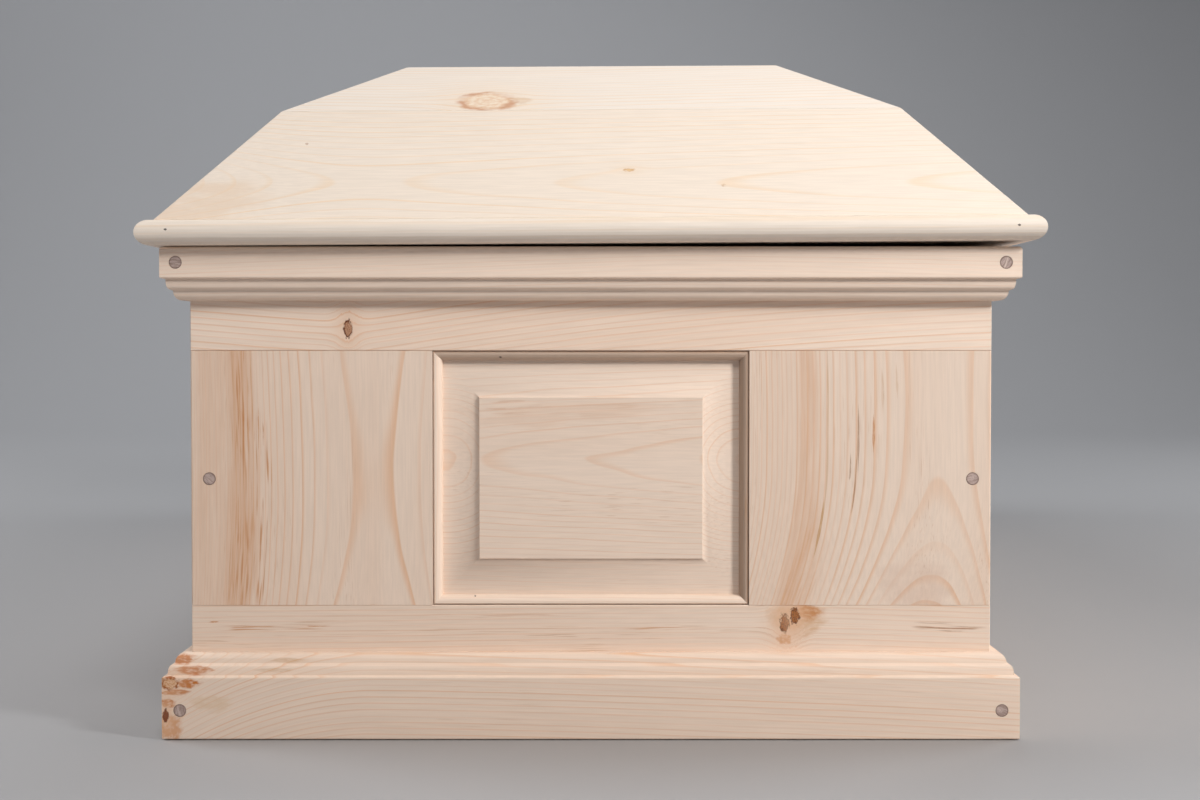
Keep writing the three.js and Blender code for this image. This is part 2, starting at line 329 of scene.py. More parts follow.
def finish_group(wiring: Wiring, sink: bpy.types.Node, results: dict[str, Socket]) -> None:
    """Joins a group's results to its output node."""
    for name, socket in results.items():
        wiring.tree.links.new(socket, sink.inputs[name])


# When in its year, from 0 to 1, a ring is darkest

LATE_PEAK = 0.94


def build_growth_group() -> bpy.types.NodeTree:
    """Year rings, fibres and resin dashes of solid wood whose pith is near the X axis.

    Returns:
        A group that turns a place in the log into masks from 0 to 1, and into a place that
        follows the grain: along it, and out from the pith with the side's sign.
    """
    inputs = {name: "FLOAT" for name in ("Ring", "Crowd", "Start", "Depth", "Dip")}
    inputs |= {name: "VECTOR" for name in ("Vector", "Bow", "Lean", "Sway")}
    inputs |= {name: "FLOAT" for name in ("Wander", "Ripple", "Uneven", "Latewood", "Seed")}
    outputs = {name: "FLOAT" for name in ("Late", "Tone", "Fibre", "Dash", "Blush")}
    outputs["Grain"] = "VECTOR"
    tree, w, given, sink = new_group("Growth rings", inputs, outputs)
    g = given.outputs
    place, seed = g["Vector"], g["Seed"]
    x, y, z = w.parts(place)
    squared = w.times(x, x)
    after = w.math("GREATER_THAN", x, 0.0)
    bow, sway = (w.chosen(after, g[name]) for name in ("Bow", "Sway"))
    before, beyond, _ = w.parts(g["Lean"])
    mean = w.times(w.plus(beyond, before), 0.5)
    turn = w.times(w.minus(beyond, before), 0.5)
    away = w.minus(w.math("SQRT", w.plus(squared, TURN**2)), TURN)
    y = w.minus(y, w.times(mean, x))
    y = w.minus(y, w.times(turn, away))
    y = w.minus(y, w.times(sway, squared))
    z = w.plus(z, w.times(g["Dip"], x))
    z = w.plus(z, w.times(bow, squared))
    bent = w.add("ShaderNodeCombineXYZ", {0: x, 1: y, 2: z}).outputs[0]
    radius = w.math("SQRT", w.plus(w.times(y, y), w.times(z, z)))
    stray = w.minus(w.noise(bent, (2.4, 9.0, 9.0), seed, 1.0), 0.5)
    small = w.minus(w.noise(bent, (14.0, 60.0, 60.0), seed, 1.0), 0.5)
    radius = w.plus(radius, w.times(stray, w.times(g["Wander"], 2.0)))
    radius = w.plus(radius, w.times(small, w.times(g["Ripple"], 2.0)))
    reach = w.minus(radius, g["Depth"])
    years = w.plus(w.math("DIVIDE", reach, g["Ring"]), g["Start"])
    crowded = w.times(w.times(reach, reach), w.times(g["Crowd"], 0.5))
    years = w.plus(years, w.times(crowded, w.math("SIGN", reach)))
    odd = w.plus(w.times(radius, 60.0), seed)
    varied = w.add("ShaderNodeTexNoise", {"W": odd, "Scale": 1.0, "Detail": 1.0}, noise_dimensions="1D")
    varied = w.times(w.minus(varied.outputs[0], 0.5), 2.0)
    years = w.plus(years, w.times(varied, g["Uneven"]))
    season, year = w.math("FRACT", years), w.math("FLOOR", years)
    tone = w.add("ShaderNodeTexWhiteNoise", {"W": w.plus(year, seed)}, noise_dimensions="1D")
    tone = tone.outputs["Value"]
    late = w.ramp(season, w.minus(LATE_PEAK, g["Latewood"]), LATE_PEAK)
    late = w.times(late, w.ramp(season, LATE_PEAK, 1.0, 1.0, 0.0))
    late = w.times(late, w.ramp(tone, 0.0, 1.0, 0.35, 1.0))
    faded = w.ramp(w.noise(bent, (4.0, 22.0, 22.0), seed, 1.0), 0.3, 0.62, 0.55, 1.0)
    late = w.times(late, faded)
    fibre = w.noise(bent, (24.0, 620.0, 620.0), seed, 2.0)
    thread = w.noise(bent, (38.0, 1300.0, 1300.0), seed, 0.0)
    patch = w.noise(bent, (7.0, 34.0, 34.0), w.plus(seed, 9.0), 1.0)
    dash = w.times(w.ramp(thread, 0.64, 0.8), w.ramp(patch, 0.5, 0.68))
    blush = w.ramp(w.noise(bent, (2.0, 24.0, 24.0), w.plus(seed, 4.0), 2.0), 0.32, 0.7)
    signed = w.times(radius, w.math("SIGN", y))
    grain = w.add("ShaderNodeCombineXYZ", {0: x, 1: signed}).outputs[0]
    results = {"Late": late, "Tone": tone, "Fibre": fibre, "Dash": dash, "Blush": blush}
    finish_group(w, sink, results | {"Grain": grain})
    return tree


def build_knot_group() -> bpy.types.NodeTree:
    """A knot, and the grain that flows round it.

    Returns:
        A group that pushes a place round the knot and gives the knot's masks.
    """
    tree, w, given, sink = new_group(
        "Knot",
        {
            "Vector": "VECTOR",
            "Face": "VECTOR",
            "Centre": "VECTOR",
            "Size": "VECTOR",
            "Across": "VECTOR",
            "Bend": "FLOAT",
            "Ragged": "FLOAT",
            "Seed": "FLOAT",
        },
        {
            "Vector": "VECTOR",
            "Heart": "FLOAT",
            "Rim": "FLOAT",
            "Halo": "FLOAT",
            "Rings": "FLOAT",
        },
    )
    face, seed = given.outputs["Face"], given.outputs["Seed"]
    offset = w.vector("SUBTRACT", face, given.outputs["Centre"])
    inside = w.vector("DIVIDE", offset, given.outputs["Size"])
    ragged = w.minus(w.noise(inside, (1.9, 1.9, 1.9), seed, 3.0), 0.5)
    ragged = w.times(ragged, given.outputs["Ragged"])
    reach = w.plus(w.length(inside), ragged)
    spread = given.outputs["Bend"]
    share = w.math("DIVIDE", reach, spread)
    fall = w.math("POWER", math.e, w.times(w.times(share, share), -1.0))
    push = w.scaled(w.vector("MULTIPLY", offset, given.outputs["Across"]), fall)
    moved = w.vector("SUBTRACT", given.outputs["Vector"], w.scaled(push, 0.86))
    heart = w.ramp(reach, 0.82, 1.0, 1.0, 0.0)
    broken = w.ramp(w.noise(inside, (1.1, 1.1, 1.1), w.plus(seed, 3.0), 2.0), 0.36, 0.56)
    rim = w.times(w.ramp(reach, 0.7, 0.93), w.ramp(reach, 0.98, 1.25, 1.0, 0.0))
    rim = w.times(rim, w.plus(w.times(broken, 0.75), 0.25))
    split = w.ramp(w.noise(inside, (5.0, 5.0, 5.0), w.plus(seed, 6.0), 3.0), 0.42, 0.62)
    rings = w.math("PINGPONG", w.times(reach, 3.3), 0.5)
    rings = w.plus(rings, w.times(split, 0.6), True)
    finish_group(
        w, sink, {"Vector": moved, "Heart": heart, "Rim": rim, "Halo": fall, "Rings": rings}
    )
    return tree


def build_mark_group() -> bpy.types.NodeTree:
    """A streak or stain of a given place and size.

    Returns:
        A group that gives the mark's mask.
    """
    inputs = {name: "VECTOR" for name in ("Vector", "Grain", "Centre", "Size")}
    inputs |= {"Streaky": "FLOAT", "Seed": "FLOAT"}
    tree, w, given, sink = new_group("Streak or stain", inputs, {"Mask": "FLOAT"})
    g = given.outputs
    offset = w.vector("SUBTRACT", g["Vector"], g["Centre"])
    inside = w.vector("DIVIDE", offset, g["Size"])
    ragged = w.minus(w.noise(inside, (1.3, 1.3, 1.3), g["Seed"], 3.0), 0.5)
    reach = w.plus(w.length(inside), w.times(ragged, 1.4))
    body = w.ramp(reach, 0.55, 1.0, 1.0, 0.0)
    mottle = w.noise(inside, (2.6, 2.6, 2.6), w.plus(g["Seed"], 5.0), 3.0)
    body = w.times(body, w.ramp(mottle, 0.32, 0.56, 0.4, 1.0))
    fine = w.ramp(w.noise(g["Grain"], (22.0, 760.0, 1.0), g["Seed"], 1.0), 0.52, 0.68)
    broken = w.times(body, fine)
    finish_group(w, sink, {"Mask": w.blended(g["Streaky"], body, broken)})
    return tree


@dataclass(frozen=True)
class Surface:
    """How a sanded wood takes the light, apart from its colour."""

    roughness: float
    ior: float
    specular: float
    bump: float
    bump_depth: float


SANDED_PINE = Surface(roughness=0.6, ior=1.46, specular=0.32, bump=0.35, bump_depth=0.12 * MM)
SANDED_WALNUT = Surface(roughness=0.7, ior=1.5, specular=0.5, bump=0.4, bump_depth=0.1 * MM)


@dataclass
class WoodShop:
    """Builds the shader groups once and makes every board's own material from them."""

    growth: Optional[bpy.types.NodeTree] = None
    knot: Optional[bpy.types.NodeTree] = None
    mark: Optional[bpy.types.NodeTree] = None

    def prepare(self) -> None:
        """Builds the shader groups."""
        self.growth = build_growth_group()
        self.knot = build_knot_group()
        self.mark = build_mark_group()

    def pine(self, name: str, sawing: Sawing, tone: Tone = PINE) -> bpy.types.Material:
        """The sanded and oiled pine of one board.

        Args:
            name: the material's name.
            sawing: how the board lay in its log.
            tone: the wood's colours.

        Returns:
            The material.
        """
        material = bpy.data.materials.new(name)
        material.use_nodes = True
        w = Wiring(material.node_tree)
        shader = material.node_tree.nodes["Principled BSDF"]
        face = w.add("ShaderNodeTexCoord", {}).outputs["Object"]
        place, knots = self.knots(w, face, sawing)
        growth = self.growth_of(w, place, sawing).outputs
        tan = w.plus(w.times(growth["Blush"], sawing.blush), sawing.tan, True)
        base = w.mixed(tan, tone.early, tone.blush)
        base = w.mixed(w.times(growth["Late"], sawing.contrast), base, tone.late)
        grey = w.ramp(growth["Fibre"], 0.25, 0.75, 0.96 * sawing.light, 1.03 * sawing.light)
        grey = w.add("ShaderNodeCombineColor", {0: grey, 1: grey, 2: grey}).outputs[0]
        base = w.mixed(1.0, base, grey, "MULTIPLY")
        base = w.mixed(w.times(growth["Dash"], sawing.dashes), base, tone.dash)
        for mark in sawing.marks:
            mask = self.mark_mask(w, face, growth["Grain"], sawing, mark)
            base = w.mixed(w.times(mask, mark.strength), base, mark.colour)
        hollow: object = 0.0
        for knot, masks in knots:
            base = w.mixed(w.times(masks["Halo"], knot.halo), base, tone.late)
            rings = w.mixed(masks["Rings"], knot.heart, knot.ring)
            base = w.mixed(w.times(masks["Heart"], 0.9), base, rings)
            rim = w.times(masks["Rim"], knot.rim_strength)
            base = w.mixed(rim, base, knot.rim)
            hollow = w.plus(hollow, rim)
        w.tree.links.new(base, shader.inputs["Base Color"])
        uneven = w.times(w.minus(growth["Fibre"], 0.5), 0.12)
        rough = w.plus(uneven, SANDED_PINE.roughness)
        rough = w.minus(rough, w.times(growth["Late"], 0.1))
        w.tree.links.new(rough, shader.inputs["Roughness"])
        height = w.times(growth["Late"], 0.5)
        height = w.plus(height, w.times(growth["Fibre"], 0.45))
        height = w.minus(height, hollow)
        self.give_surface(w, shader, SANDED_PINE, height)
        return material

    def give_surface(
        self, w: Wiring, shader: bpy.types.Node, surface: Surface, height: Socket
    ) -> None:
        """Sets a wood's gloss, and its relief from a height."""
        inputs = {"Strength": surface.bump, "Distance": surface.bump_depth, "Height": height}
        bump = w.add("ShaderNodeBump", inputs)
        w.tree.links.new(bump.outputs[0], shader.inputs["Normal"])
        shader.inputs["IOR"].default_value = surface.ior
        shader.inputs["Specular IOR Level"].default_value = surface.specular

    def growth_of(self, w: Wiring, place: Socket, sawing: Sawing) -> bpy.types.Node:
        """Adds the rings of a board: its place in the log, then the growth group.

        Args:
            w: the material's wiring.
            place: places on the board, pushed round its knots.
            sawing: how the board lay in its log.

        Returns:
            The growth group's node.
        """
        along, across, out = sawing.axes()
        turn = Matrix((along, across, out)).transposed().to_euler()
        pith = Vector(sawing.heart) - out * sawing.depth
        inputs = {"Vector": place, "Location": pith, "Rotation": turn}
        mapping = w.add("ShaderNodeMapping", inputs, vector_type="TEXTURE").outputs[0]
        return w.group(
            self.growth,
            {
                "Vector": mapping,
                "Ring": sawing.ring,
                "Crowd": sawing.crowd,
                "Start": sawing.start,
                "Depth": sawing.depth,
                "Dip": sawing.dip,
                "Bow": (*sawing.bow, 0.0),
                "Lean": (*sawing.lean, 0.0),
                "Sway": (*sawing.sway, 0.0),
                "Wander": sawing.wander,
                "Ripple": sawing.ripple,
                "Uneven": sawing.uneven,
                "Latewood": sawing.latewood,
                "Seed": sawing.seed,
            },
        )

    def knots(
        self, w: Wiring, face: Socket, sawing: Sawing
    ) -> tuple[Socket, list[tuple[Knot, dict[str, Socket]]]]:
        """Adds a board's knots.

        Args:
            w: the material's wiring.
            face: places on the board.
            sawing: the board's sawing, with its knots.

        Returns:
            The places pushed round the knots, and each knot with its masks.
        """
        place = face
        made = []
        run = sawing.run.axis
        for knot in sawing.knots:
            node = w.group(
                self.knot,
                {
                    "Vector": place,
                    "Face": face,
                    "Centre": knot.centre,
                    "Size": [knot.half_run if run[i] else knot.half_across for i in range(3)],
                    "Across": [0.0 if run[i] else 1.0 for i in range(3)],
                    "Bend": knot.bend,
                    "Ragged": knot.ragged,
                    "Seed": knot.seed,
                },
            )
            place = node.outputs["Vector"]
            made.append((knot, {output.name: output for output in node.outputs}))
        return place, made

    def mark_mask(
        self, w: Wiring, face: Socket, grain: Socket, sawing: Sawing, mark: Mark
    ) -> Socket:
        """The mask of one streak or stain on a board, or of the painted shade of a hole.

        Args:
            w: the material's wiring.
            face: places on the board.
            grain: the same places along the grain and out from the pith.
            sawing: how the board lay in its log.
            mark: the mark.

        Returns:
            The mask.
        """
        centre, size = mark.centre, mark.size
        if mark.follow:
            along, across, _ = sawing.axes()
            x, radius = sawing.in_log(mark.centre)
            length = abs(Vector(mark.size).dot(along))
            edge = Vector(mark.centre) + across * abs(Vector(mark.size).dot(across))
            width = max(abs(sawing.in_log(edge)[1] - radius), 0.3 * MM)
            centre, size = (x, radius, 0.0), (length, width, 1.0)
        inputs = {
            "Vector": grain if mark.follow else face,
            "Grain": grain,
            "Centre": centre,
            "Size": size,
            "Streaky": mark.streaky,
            "Seed": mark.seed,
        }
        return w.group(self.mark, inputs).outputs["Mask"]

    def walnut(
        self, name: str, centre: Point, radius: float, seed: float, split: bool
    ) -> bpy.types.Material:
        """The sanded end grain of one walnut peg.

        Args:
            name: the material's name.
            centre: the middle of the peg's shown end.
            radius: the peg's radius.
            seed: sets its grain apart from the other pegs'.
            split: whether a pale split crosses it.

        Returns:
            The material.
        """
        material = bpy.data.materials.new(name)
        material.use_nodes = True
        w = Wiring(material.node_tree)
        shader = material.node_tree.nodes["Principled BSDF"]
        face = w.add("ShaderNodeTexCoord", {}).outputs["Object"]
        local = w.add(
            "ShaderNodeMapping",
            {"Vector": face, "Location": centre, "Rotation": (0.0, 0.9 + seed, 0.0)},
            vector_type="TEXTURE",
        ).outputs[0]
        x, _, z = w.parts(local)
        disc = w.length(w.add("ShaderNodeCombineXYZ", {0: x, 1: z}).outputs[0])
        disc = w.math("DIVIDE", disc, radius)
        bands = w.noise(local, (900.0, 40.0, 160.0), seed, 2.0)
        pores = w.noise(local, (2600.0, 60.0, 2600.0), seed, 1.0)
        base = w.mixed(w.ramp(bands, 0.3, 0.7), WALNUT.late, WALNUT.early)
        base = w.mixed(w.ramp(pores, 0.56, 0.72, 0.0, 0.7), base, WALNUT.dash)
        if split:
            crack = w.math("ABSOLUTE", w.plus(x, w.times(z, 0.25)))
            crack = w.ramp(crack, 0.15 * MM, 0.75 * MM, 0.8, 0.0)
            base = w.mixed(crack, base, PALE_SPLIT)
        base = w.mixed(w.ramp(disc, 0.74, 1.0, 0.0, 0.65), base, WALNUT.blush)
        w.tree.links.new(base, shader.inputs["Base Color"])
        rough = w.ramp(bands, 0.3, 0.7, SANDED_WALNUT.roughness, 0.55)
        w.tree.links.new(rough, shader.inputs["Roughness"])
        self.give_surface(w, shader, SANDED_WALNUT, pores)
        return material


# What the photograph shows of the front end, and plain sawings for the rest

FRONT = (0.0, -1.0, 0.0)
WALL_FACE = round(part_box("front_end_top_rail")[0].y / MM)
TRIM_FACE = round(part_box("front_base")[0].y / MM)
STREAK_DEPTH = 20.0

# The lid's slopes, as their rise and run in millimetres

LOWER_SLOPE_RISE = math.atan2(90.1, 83.5)
UPPER_SLOPE_RISE = math.atan2(46.6, 90.6)


def spot(x: float, z: float, y: float = WALL_FACE) -> Point:
    """A place in metres from millimetres; y is the front wall's face unless it is given."""
    return (x * MM, y * MM, z * MM)


def slope_out(outward: Point, rise: float) -> Point:
    """The direction that a sloping lid board looks in."""
    level = Vector(outward) * math.sin(rise)
    return (level.x, level.y, math.cos(rise))


def streak(
    x: float,
    z: float,
    long: float,
    wide: float,
    colour: Colour,
    strength: float,
    run: Run = Run.UPRIGHT,
    **more: float,
) -> Mark:
    """A streak that follows the grain of a front board, placed and sized in millimetres."""
    size = (wide, long) if run is Run.UPRIGHT else (long, wide)
    return Mark(spot(x, z), spot(*size, STREAK_DEPTH), colour, strength, **more)


def stain(
    place: Point, size: Point, colour: Colour, strength: float, seed: float = 0.0, streaky: float = 0.0
) -> Mark:
    """A stain or spot, or the painted shade of a hole, that the grain doesn't bend."""
    return Mark(place, size, colour, strength, streaky, False, seed)


BROWN = (0.30, 0.120, 0.040)
DARK_BROWN = (0.14, 0.052, 0.020)
AMBER = (0.50, 0.25, 0.07)
RUST = (0.40, 0.19, 0.09)
EMBER = (0.58, 0.24, 0.08)
RESIN = (0.54, 0.16, 0.022)
SAND = (0.67, 0.36, 0.195)

FRONT_LEFT_STILE = Sawing(
    run=Run.UPRIGHT,
    out=FRONT,
    heart=spot(-163.6, 187.6),
    depth=100 * MM,
    ring=5.3 * MM,
    crowd=5200.0,
    start=0.73,
    bow=(-0.5, -0.2),
    contrast=0.88,
    latewood=0.24,
    uneven=0.35,
    ripple=0.4 * MM,
    tan=0.15,
    dashes=0.25,
    seed=3.0,
    marks=(
        streak(-283.0, 196.0, 260.0, 26.0, SAND, 0.35, streaky=0.3),
        streak(-265.0, 196.0, 260.0, 13.0, SAND, 0.8, streaky=0.5),
        streak(-266.0, 262.0, 110.0, 7.0, EMBER, 0.6, streaky=0.9),
        streak(-251.0, 160.0, 75.0, 15.0, EMBER, 0.75, streaky=1.0, seed=1.0),
        streak(-269.0, 130.0, 52.0, 12.0, EMBER, 0.65, streaky=1.0, seed=2.0),
        streak(-252.0, 232.0, 18.0, 5.0, EMBER, 0.75, streaky=1.0, seed=3.0),
        streak(-266.0, 232.0, 22.0, 5.0, EMBER, 0.75, streaky=1.0, seed=7.0),
        streak(-264.0, 245.0, 60.0, 12.0, EMBER, 0.5, streaky=1.0, seed=4.0),
    ),
)
FRONT_RIGHT_STILE = Sawing(
    run=Run.UPRIGHT,
    out=FRONT,
    heart=spot(265.6, 202.8),
    depth=75 * MM,
    ring=5.5 * MM,
    crowd=2000.0,
    start=1.03,
    dip=0.0283,
    bow=(-1.275, -0.28),
    sway=(0.9, 0.1),
    contrast=0.85,
    latewood=0.38,
    light=0.96,
    tan=0.06,
    uneven=0.3,
    ripple=0.4 * MM,
    dashes=0.3,
    seed=5.0,
    marks=(
        streak(164.0, 196.0, 220.0, 10.0, SAND, 0.5, streaky=0.3),
        streak(160.0, 120.0, 66.0, 12.0, SAND, 0.6, streaky=0.5, seed=8.0),
        streak(204.0, 226.0, 30.0, 1.0, BROWN, 0.85, streaky=0.25),
        streak(201.5, 192.0, 26.0, 0.8, BROWN, 0.75, streaky=0.25, seed=1.0),
        streak(197.5, 204.0, 11.0, 0.9, BROWN, 0.7, streaky=0.25, seed=2.0),
        streak(216.0, 230.0, 17.0, 1.2, EMBER, 0.8, streaky=0.0),
        streak(180.0, 224.0, 95.0, 0.8, AMBER, 0.6, streaky=0.35),
        streak(174.0, 158.0, 26.0, 1.2, AMBER, 0.75, streaky=0.1),
        stain(spot(248.0, 112.0), spot(34.0, 28.0, 20.0), (0.66, 0.46, 0.36), 0.35),
        streak(223.0, 262.0, 20.0, 1.2, AMBER, 0.4, streaky=0.5),
        streak(234.0, 270.0, 16.0, 1.0, AMBER, 0.4, streaky=0.5),
    ),
)
FRONT_PANEL = Sawing(
    run=Run.ACROSS,
    out=FRONT,
    heart=spot(-79.1, 209.6),
    depth=60 * MM,
    ring=2.95 * MM,
    start=1.13,
    dip=-0.041,
    wander=1.2 * MM,
    ripple=0.8 * MM,
    contrast=0.6,
    latewood=0.20,
    uneven=0.2,
    blush=0.22,
    dashes=0.25,
    seed=9.0,
    marks=(
        streak(-20.0, 246.0, 90.0, 9.0, SAND, 0.35, Run.ACROSS, streaky=0.5),
        streak(-60.0, 252.0, 28.0, 7.0, EMBER, 0.3, Run.ACROSS, streaky=1.0, seed=4.0),
    ),
)
FRONT_TOP_RAIL = Sawing(
    run=Run.ACROSS,
    out=FRONT,
    heart=spot(-184.8, 160.0),
    depth=60 * MM,
    ring=4.3 * MM,
    lean=(-0.08, 0.165),
    sway=(0.0, -0.125),
    contrast=0.95,
    latewood=0.30,
    light=1.05,
    uneven=0.4,
    ripple=0.5 * MM,
    blush=0.45,
    dashes=0.1,
    seed=12.0,
    knots=(
        Knot(
            spot(-184.8, 310.1), 3.2 * MM, 6.4 * MM, bend=2.9,
            heart=(0.52, 0.28, 0.16), ring=(0.26, 0.08, 0.025), rim=(0.12, 0.025, 0.006),
            rim_strength=1.0, halo=0.4, seed=1.0, ragged=1.1,
        ),
    ),
)
FRONT_BOTTOM_RAIL = Sawing(
    run=Run.ACROSS,
    out=FRONT,
    heart=spot(150.0, -25.0),
    depth=70 * MM,
    ring=3.4 * MM,
    lean=(0.01, -0.03),
    contrast=0.7,
    latewood=0.28,
    ripple=0.5 * MM,
    uneven=0.3,
    dashes=0.35,
    seed=15.0,
    knots=(
        Knot(
            spot(147.7, 85.6), 3.8 * MM, 6.6 * MM, bend=3.0,
            heart=(0.40, 0.12, 0.02), ring=(0.11, 0.025, 0.006), rim=(0.09, 0.022, 0.006),
            rim_strength=0.9, halo=0.7, seed=2.0, ragged=1.7,
        ),
        Knot(
            spot(155.6, 91.2), 3.3 * MM, 5.8 * MM, bend=2.6,
            heart=(0.48, 0.16, 0.03), ring=(0.14, 0.035, 0.008), rim=(0.11, 0.028, 0.008),
            rim_strength=0.85, halo=0.6, seed=3.0, ragged=1.7,
        ),
    ),
    marks=(
        stain(spot(158.0, 88.0), spot(27.0, 15.0, 20.0), (0.66, 0.40, 0.22), 0.7, streaky=0.2),
        stain(spot(165.0, 94.0), spot(15.0, 7.0, 20.0), EMBER, 0.9, seed=5.0),
        stain(spot(147.7, 73.4), spot(6.5, 5.0, 20.0), EMBER, 0.8, seed=6.0),
        streak(-288.0, 86.2, 4.5, 0.7, EMBER, 0.9, Run.ACROSS, streaky=0.0),
        streak(-258.0, 82.2, 20.0, 0.6, EMBER, 0.9, Run.ACROSS, streaky=0.0, seed=1.0),
        streak(-208.7, 83.0, 10.0, 0.5, EMBER, 0.8, Run.ACROSS, streaky=0.0, seed=2.0),
        streak(-235.0, 81.5, 70.0, 3.5, EMBER, 0.7, Run.ACROSS, streaky=1.0, seed=3.0),
        streak(-60.0, 90.0, 60.0, 2.0, EMBER, 0.45, Run.ACROSS, streaky=1.0, seed=8.0),
        streak(56.0, 81.0, 40.0, 1.6, EMBER, 0.6, Run.ACROSS, streaky=1.0, seed=4.0),
        streak(272.0, 83.0, 34.0, 4.5, RUST, 0.8, Run.ACROSS, streaky=1.0, seed=5.0),
    ),
)
FRONT_CORNICE = Sawing(
    run=Run.ACROSS,
    out=FRONT,
    heart=spot(60.0, 240.0, TRIM_FACE),
    depth=70 * MM,
    ring=2.9 * MM,
    lean=(0.035, -0.02),
    contrast=0.42,
    latewood=0.3,
    light=1.06,
    uneven=0.3,
    ripple=0.3 * MM,
    blush=0.12,
    dashes=0.1,
    seed=18.0,
)
FRONT_BASE = Sawing(
    run=Run.ACROSS,
    out=FRONT,
    heart=spot(-165.0, -70.0, TRIM_FACE),
    depth=60.0 * MM,
    ring=3.9 * MM,
    start=0.6,
    lean=(0.02, -0.02),
    sway=(-1.9, -0.04),
    contrast=0.95,
    latewood=0.26,
    tan=0.15,
    uneven=0.3,
    ripple=0.35 * MM,
    blush=0.2,
    dashes=0.15,
    seed=21.0,
    knots=(
        Knot(
            spot(-317.5, 42.5, TRIM_FACE), 5.6 * MM, 4.8 * MM, bend=2.4,
            heart=(0.80, 0.54, 0.36), ring=(0.58, 0.25, 0.08), rim=(0.36, 0.10, 0.02),
            rim_strength=1.0, halo=0.5, seed=4.0, ragged=1.2,
        ),
        Knot(
            spot(-321.0, 18.3, TRIM_FACE), 2.2 * MM, 4.6 * MM, bend=2.6,
            heart=(0.14, 0.02, 0.003), ring=(0.24, 0.05, 0.008), rim=(0.13, 0.02, 0.003),
            rim_strength=0.8, halo=0.7, seed=5.0, ragged=1.2,
        ),
    ),
    marks=(
        stain(spot(-304.0, 43.0, TRIM_FACE), spot(10.0, 4.4, 8.0), RESIN, 1.0, seed=1.0),
        stain(spot(-314.0, 36.0, TRIM_FACE), spot(13.0, 2.8, 8.0), RESIN, 0.9, seed=2.0),
        stain(spot(-323.0, 43.5, TRIM_FACE), spot(5.0, 5.5, 8.0), BROWN, 0.9, seed=7.0),
        stain(spot(-318.0, 8.0, TRIM_FACE), spot(12.0, 14.0, 8.0), (0.66, 0.30, 0.13), 0.8),
        stain(spot(-320.0, 27.5, TRIM_FACE), spot(7.5, 5.0, 8.0), RESIN, 0.9, seed=8.0),
        stain(spot(-310.0, 59.5, -1027.0), spot(12.0, 4.4, 9.0), RESIN, 0.8, seed=3.0),
        stain(spot(-302.0, 52.0, -1029.0), spot(16.0, 4.4, 9.0), RESIN, 0.8, seed=4.0),
        stain(spot(-229.0, 58.6, -1027.0), spot(16.0, 2.2, 9.0), AMBER, 0.4, seed=5.0),
        stain(spot(-240.0, 52.0, -1029.0), spot(18.0, 2.2, 9.0), AMBER, 0.3, seed=6.0),
        stain(spot(-286.0, 27.0, TRIM_FACE), spot(19.0, 8.0, 8.0), (0.74, 0.52, 0.34), 0.55),
    ),
)
FRONT_LOWER_SLOPE = Sawing(
    run=Run.ACROSS,
    out=slope_out(FRONT, LOWER_SLOPE_RISE),
    heart=spot(-146.0, 420.8, -1011.6),
    depth=50 * MM,
    ring=4.6 * MM,
    start=0.943,
    dip=-0.042,
    bow=(-0.89, 0.0),
    contrast=0.8,
    latewood=0.2,
    tan=0.45,
    uneven=0.2,
    ripple=0.4 * MM,
    blush=0.12,
    dashes=0.0,
    seed=24.0,
    knots=(
        Knot(
            spot(29.2, 430.8, -1002.2), 5.0 * MM, 2.2 * MM, bend=2.6,
            heart=(0.80, 0.58, 0.36), ring=(0.74, 0.46, 0.20), rim=(0.60, 0.33, 0.12),
            rim_strength=0.7, halo=0.25, seed=6.0,
        ),
    ),
    marks=(
        stain(spot(101.0, 418.3, -1013.8), spot(4.5, 2.0, 3.0), AMBER, 0.5),
        stain(spot(-220.4, 453.8, -980.9), spot(1.6, 1.2, 3.0), RUST, 0.6),
        stain(spot(93.9, 481.0, -955.6), spot(5.0, 1.4, 2.0), DARK_BROWN, 0.9),
        stain(spot(-310.0, 408.0, -1024.0), spot(80.0, 30.0, 30.0), (0.78, 0.58, 0.42), 0.5),
    ),
)
FRONT_UPPER_SLOPE = Sawing(
    run=Run.ACROSS,
    out=slope_out(FRONT, UPPER_SLOPE_RISE),
    heart=spot(-82.0, 470.0, -990.0),
    depth=60 * MM,
    ring=4.8 * MM,
    lean=(-0.05, 0.06),
    contrast=0.9,
    latewood=0.22,
    light=0.97,
    uneven=0.3,
    ripple=0.4 * MM,
    blush=0.12,
    dashes=0.05,
    seed=27.0,
    knots=(
        Knot(
            spot(-82.7, 490.8, -937.2), 22.0 * MM, 19.0 * MM, bend=1.9,
            heart=(0.86, 0.72, 0.58), ring=(0.76, 0.52, 0.34), rim=(0.56, 0.26, 0.13),
            rim_strength=0.8, halo=0.35, seed=7.0, ragged=0.5,
        ),
    ),
    marks=(
        stain(spot(-97.0, 490.3, -937.5), spot(1.6, 1.4, 2.0), DARK_BROWN, 0.9),
        stain(spot(-84.0, 500.2, -919.0), spot(1.5, 1.4, 2.0), DARK_BROWN, 0.8),
        stain(spot(-60.0, 492.0, -936.0), spot(14.0, 8.0, 14.0), AMBER, 0.45, seed=2.0, streaky=0.3),
    ),
)
# Painted shade: the nail holes are not in the mesh, so near-black dots stand for the shade inside them;
# the brads' holes in the bead are drawn this way.
HOLE_PAINTED_SHADE = (0.015, 0.01, 0.008)
BRADS = (
    stain(spot(-69.0, 288.5, -1015.0), spot(1.3, 1.0, 8.0), HOLE_PAINTED_SHADE, 0.9),
    stain(spot(-88.6, 106.0, -1015.0), spot(1.0, 1.0, 8.0), HOLE_PAINTED_SHADE, 0.8),
)
